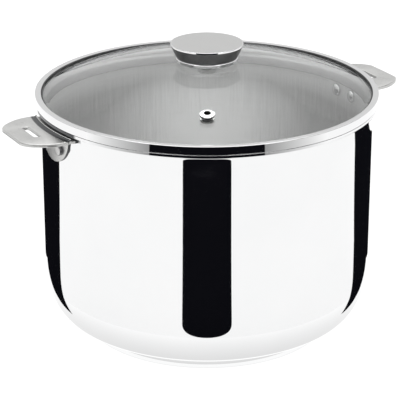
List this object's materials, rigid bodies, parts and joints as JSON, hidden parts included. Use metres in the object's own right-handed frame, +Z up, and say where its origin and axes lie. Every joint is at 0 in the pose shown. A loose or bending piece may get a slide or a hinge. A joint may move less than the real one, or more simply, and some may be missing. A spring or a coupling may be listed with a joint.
{
  "type": "stock pot with glass lid",
  "caption": "Deep polished steel stock pot with a flared lip, slotted brackets for clip-on handles and a domed glass lid with a flat knob and a steam vent.",
  "frame": {"origin": "middle of the base's flat underside, which is the middle of the bottom of the bounding box", "axes": "+Z up along the pot's axis, +X out through the middle of one handle bracket, so that the brackets lie on the X axis and the steam vent is at the front left, 118.5 degrees clockwise from +X seen from above"},
  "size_m": [0.311, 0.251, 0.2172],
  "materials": {
    "polished_steel": "mirror polished stainless steel",
    "satin_steel": "satin stainless steel",
    "brushed_steel": "brushed stainless steel",
    "aluminium": "turned aluminium",
    "clear_glass": "clear tempered glass",
    "grey_silicone": "matt dark grey silicone"
  },
  "bodies": {
    "pot": {"pot_body": "polished_steel", "base_core_disc": "aluminium", "base_cap": "brushed_steel", "left_bracket": "satin_steel", "right_bracket": "satin_steel", "left_rivet_front": "satin_steel", "left_rivet_back": "satin_steel", "right_rivet_front": "satin_steel", "right_rivet_back": "satin_steel"},
    "lid": {"lid_glass": "clear_glass", "lid_rim_band": "polished_steel", "lid_edge_seal": "grey_silicone", "knob_body": "brushed_steel", "knob_insert": "satin_steel", "knob_seat_ring": "polished_steel", "knob_upper_gasket": "grey_silicone", "knob_lower_gasket": "grey_silicone", "knob_cup_washer": "satin_steel", "knob_screw": "satin_steel", "vent_eyelet": "polished_steel", "vent_seal": "grey_silicone", "vent_backing_ring": "satin_steel"}
  },
  "joints": [
    {"name": "lid_lift", "type": "slide", "parent": "pot", "child": "lid", "axis": [0, 0, 1], "range_m": [0, 0.15]}
  ]
}
